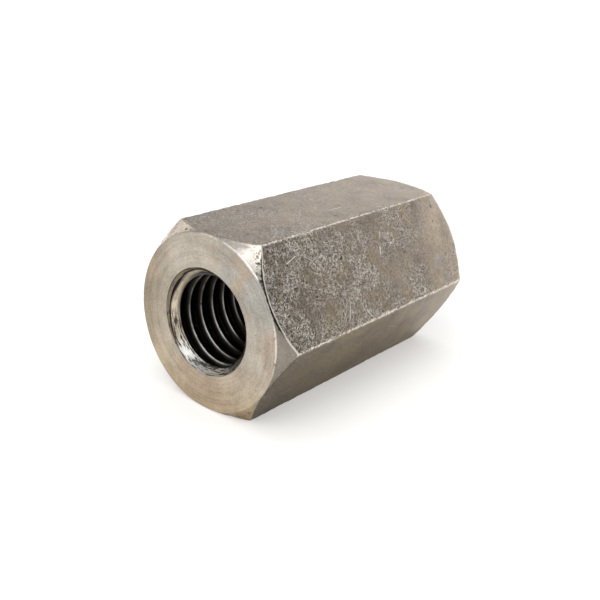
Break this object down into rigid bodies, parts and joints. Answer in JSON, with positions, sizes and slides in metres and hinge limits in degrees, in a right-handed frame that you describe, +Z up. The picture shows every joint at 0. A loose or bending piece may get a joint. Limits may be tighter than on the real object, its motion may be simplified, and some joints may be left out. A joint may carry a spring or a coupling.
{
  "type": "coupling nut",
  "caption": "Long steel hexagon nut, threaded right through, that joins two threaded rods end to end.",
  "frame": {"origin": "middle of the flat that the nut lies on", "axes": "+Y along the bore, +X across the corners, +Z up through the upper flat"},
  "size_m": [0.0196, 0.03, 0.017],
  "materials": {
    "plain_steel": "plain uncoated steel, warm grey, drawn and slightly scuffed flats, turned ends"
  },
  "bodies": {
    "root": {"coupling_nut": "plain_steel"}
  },
  "joints": []
}
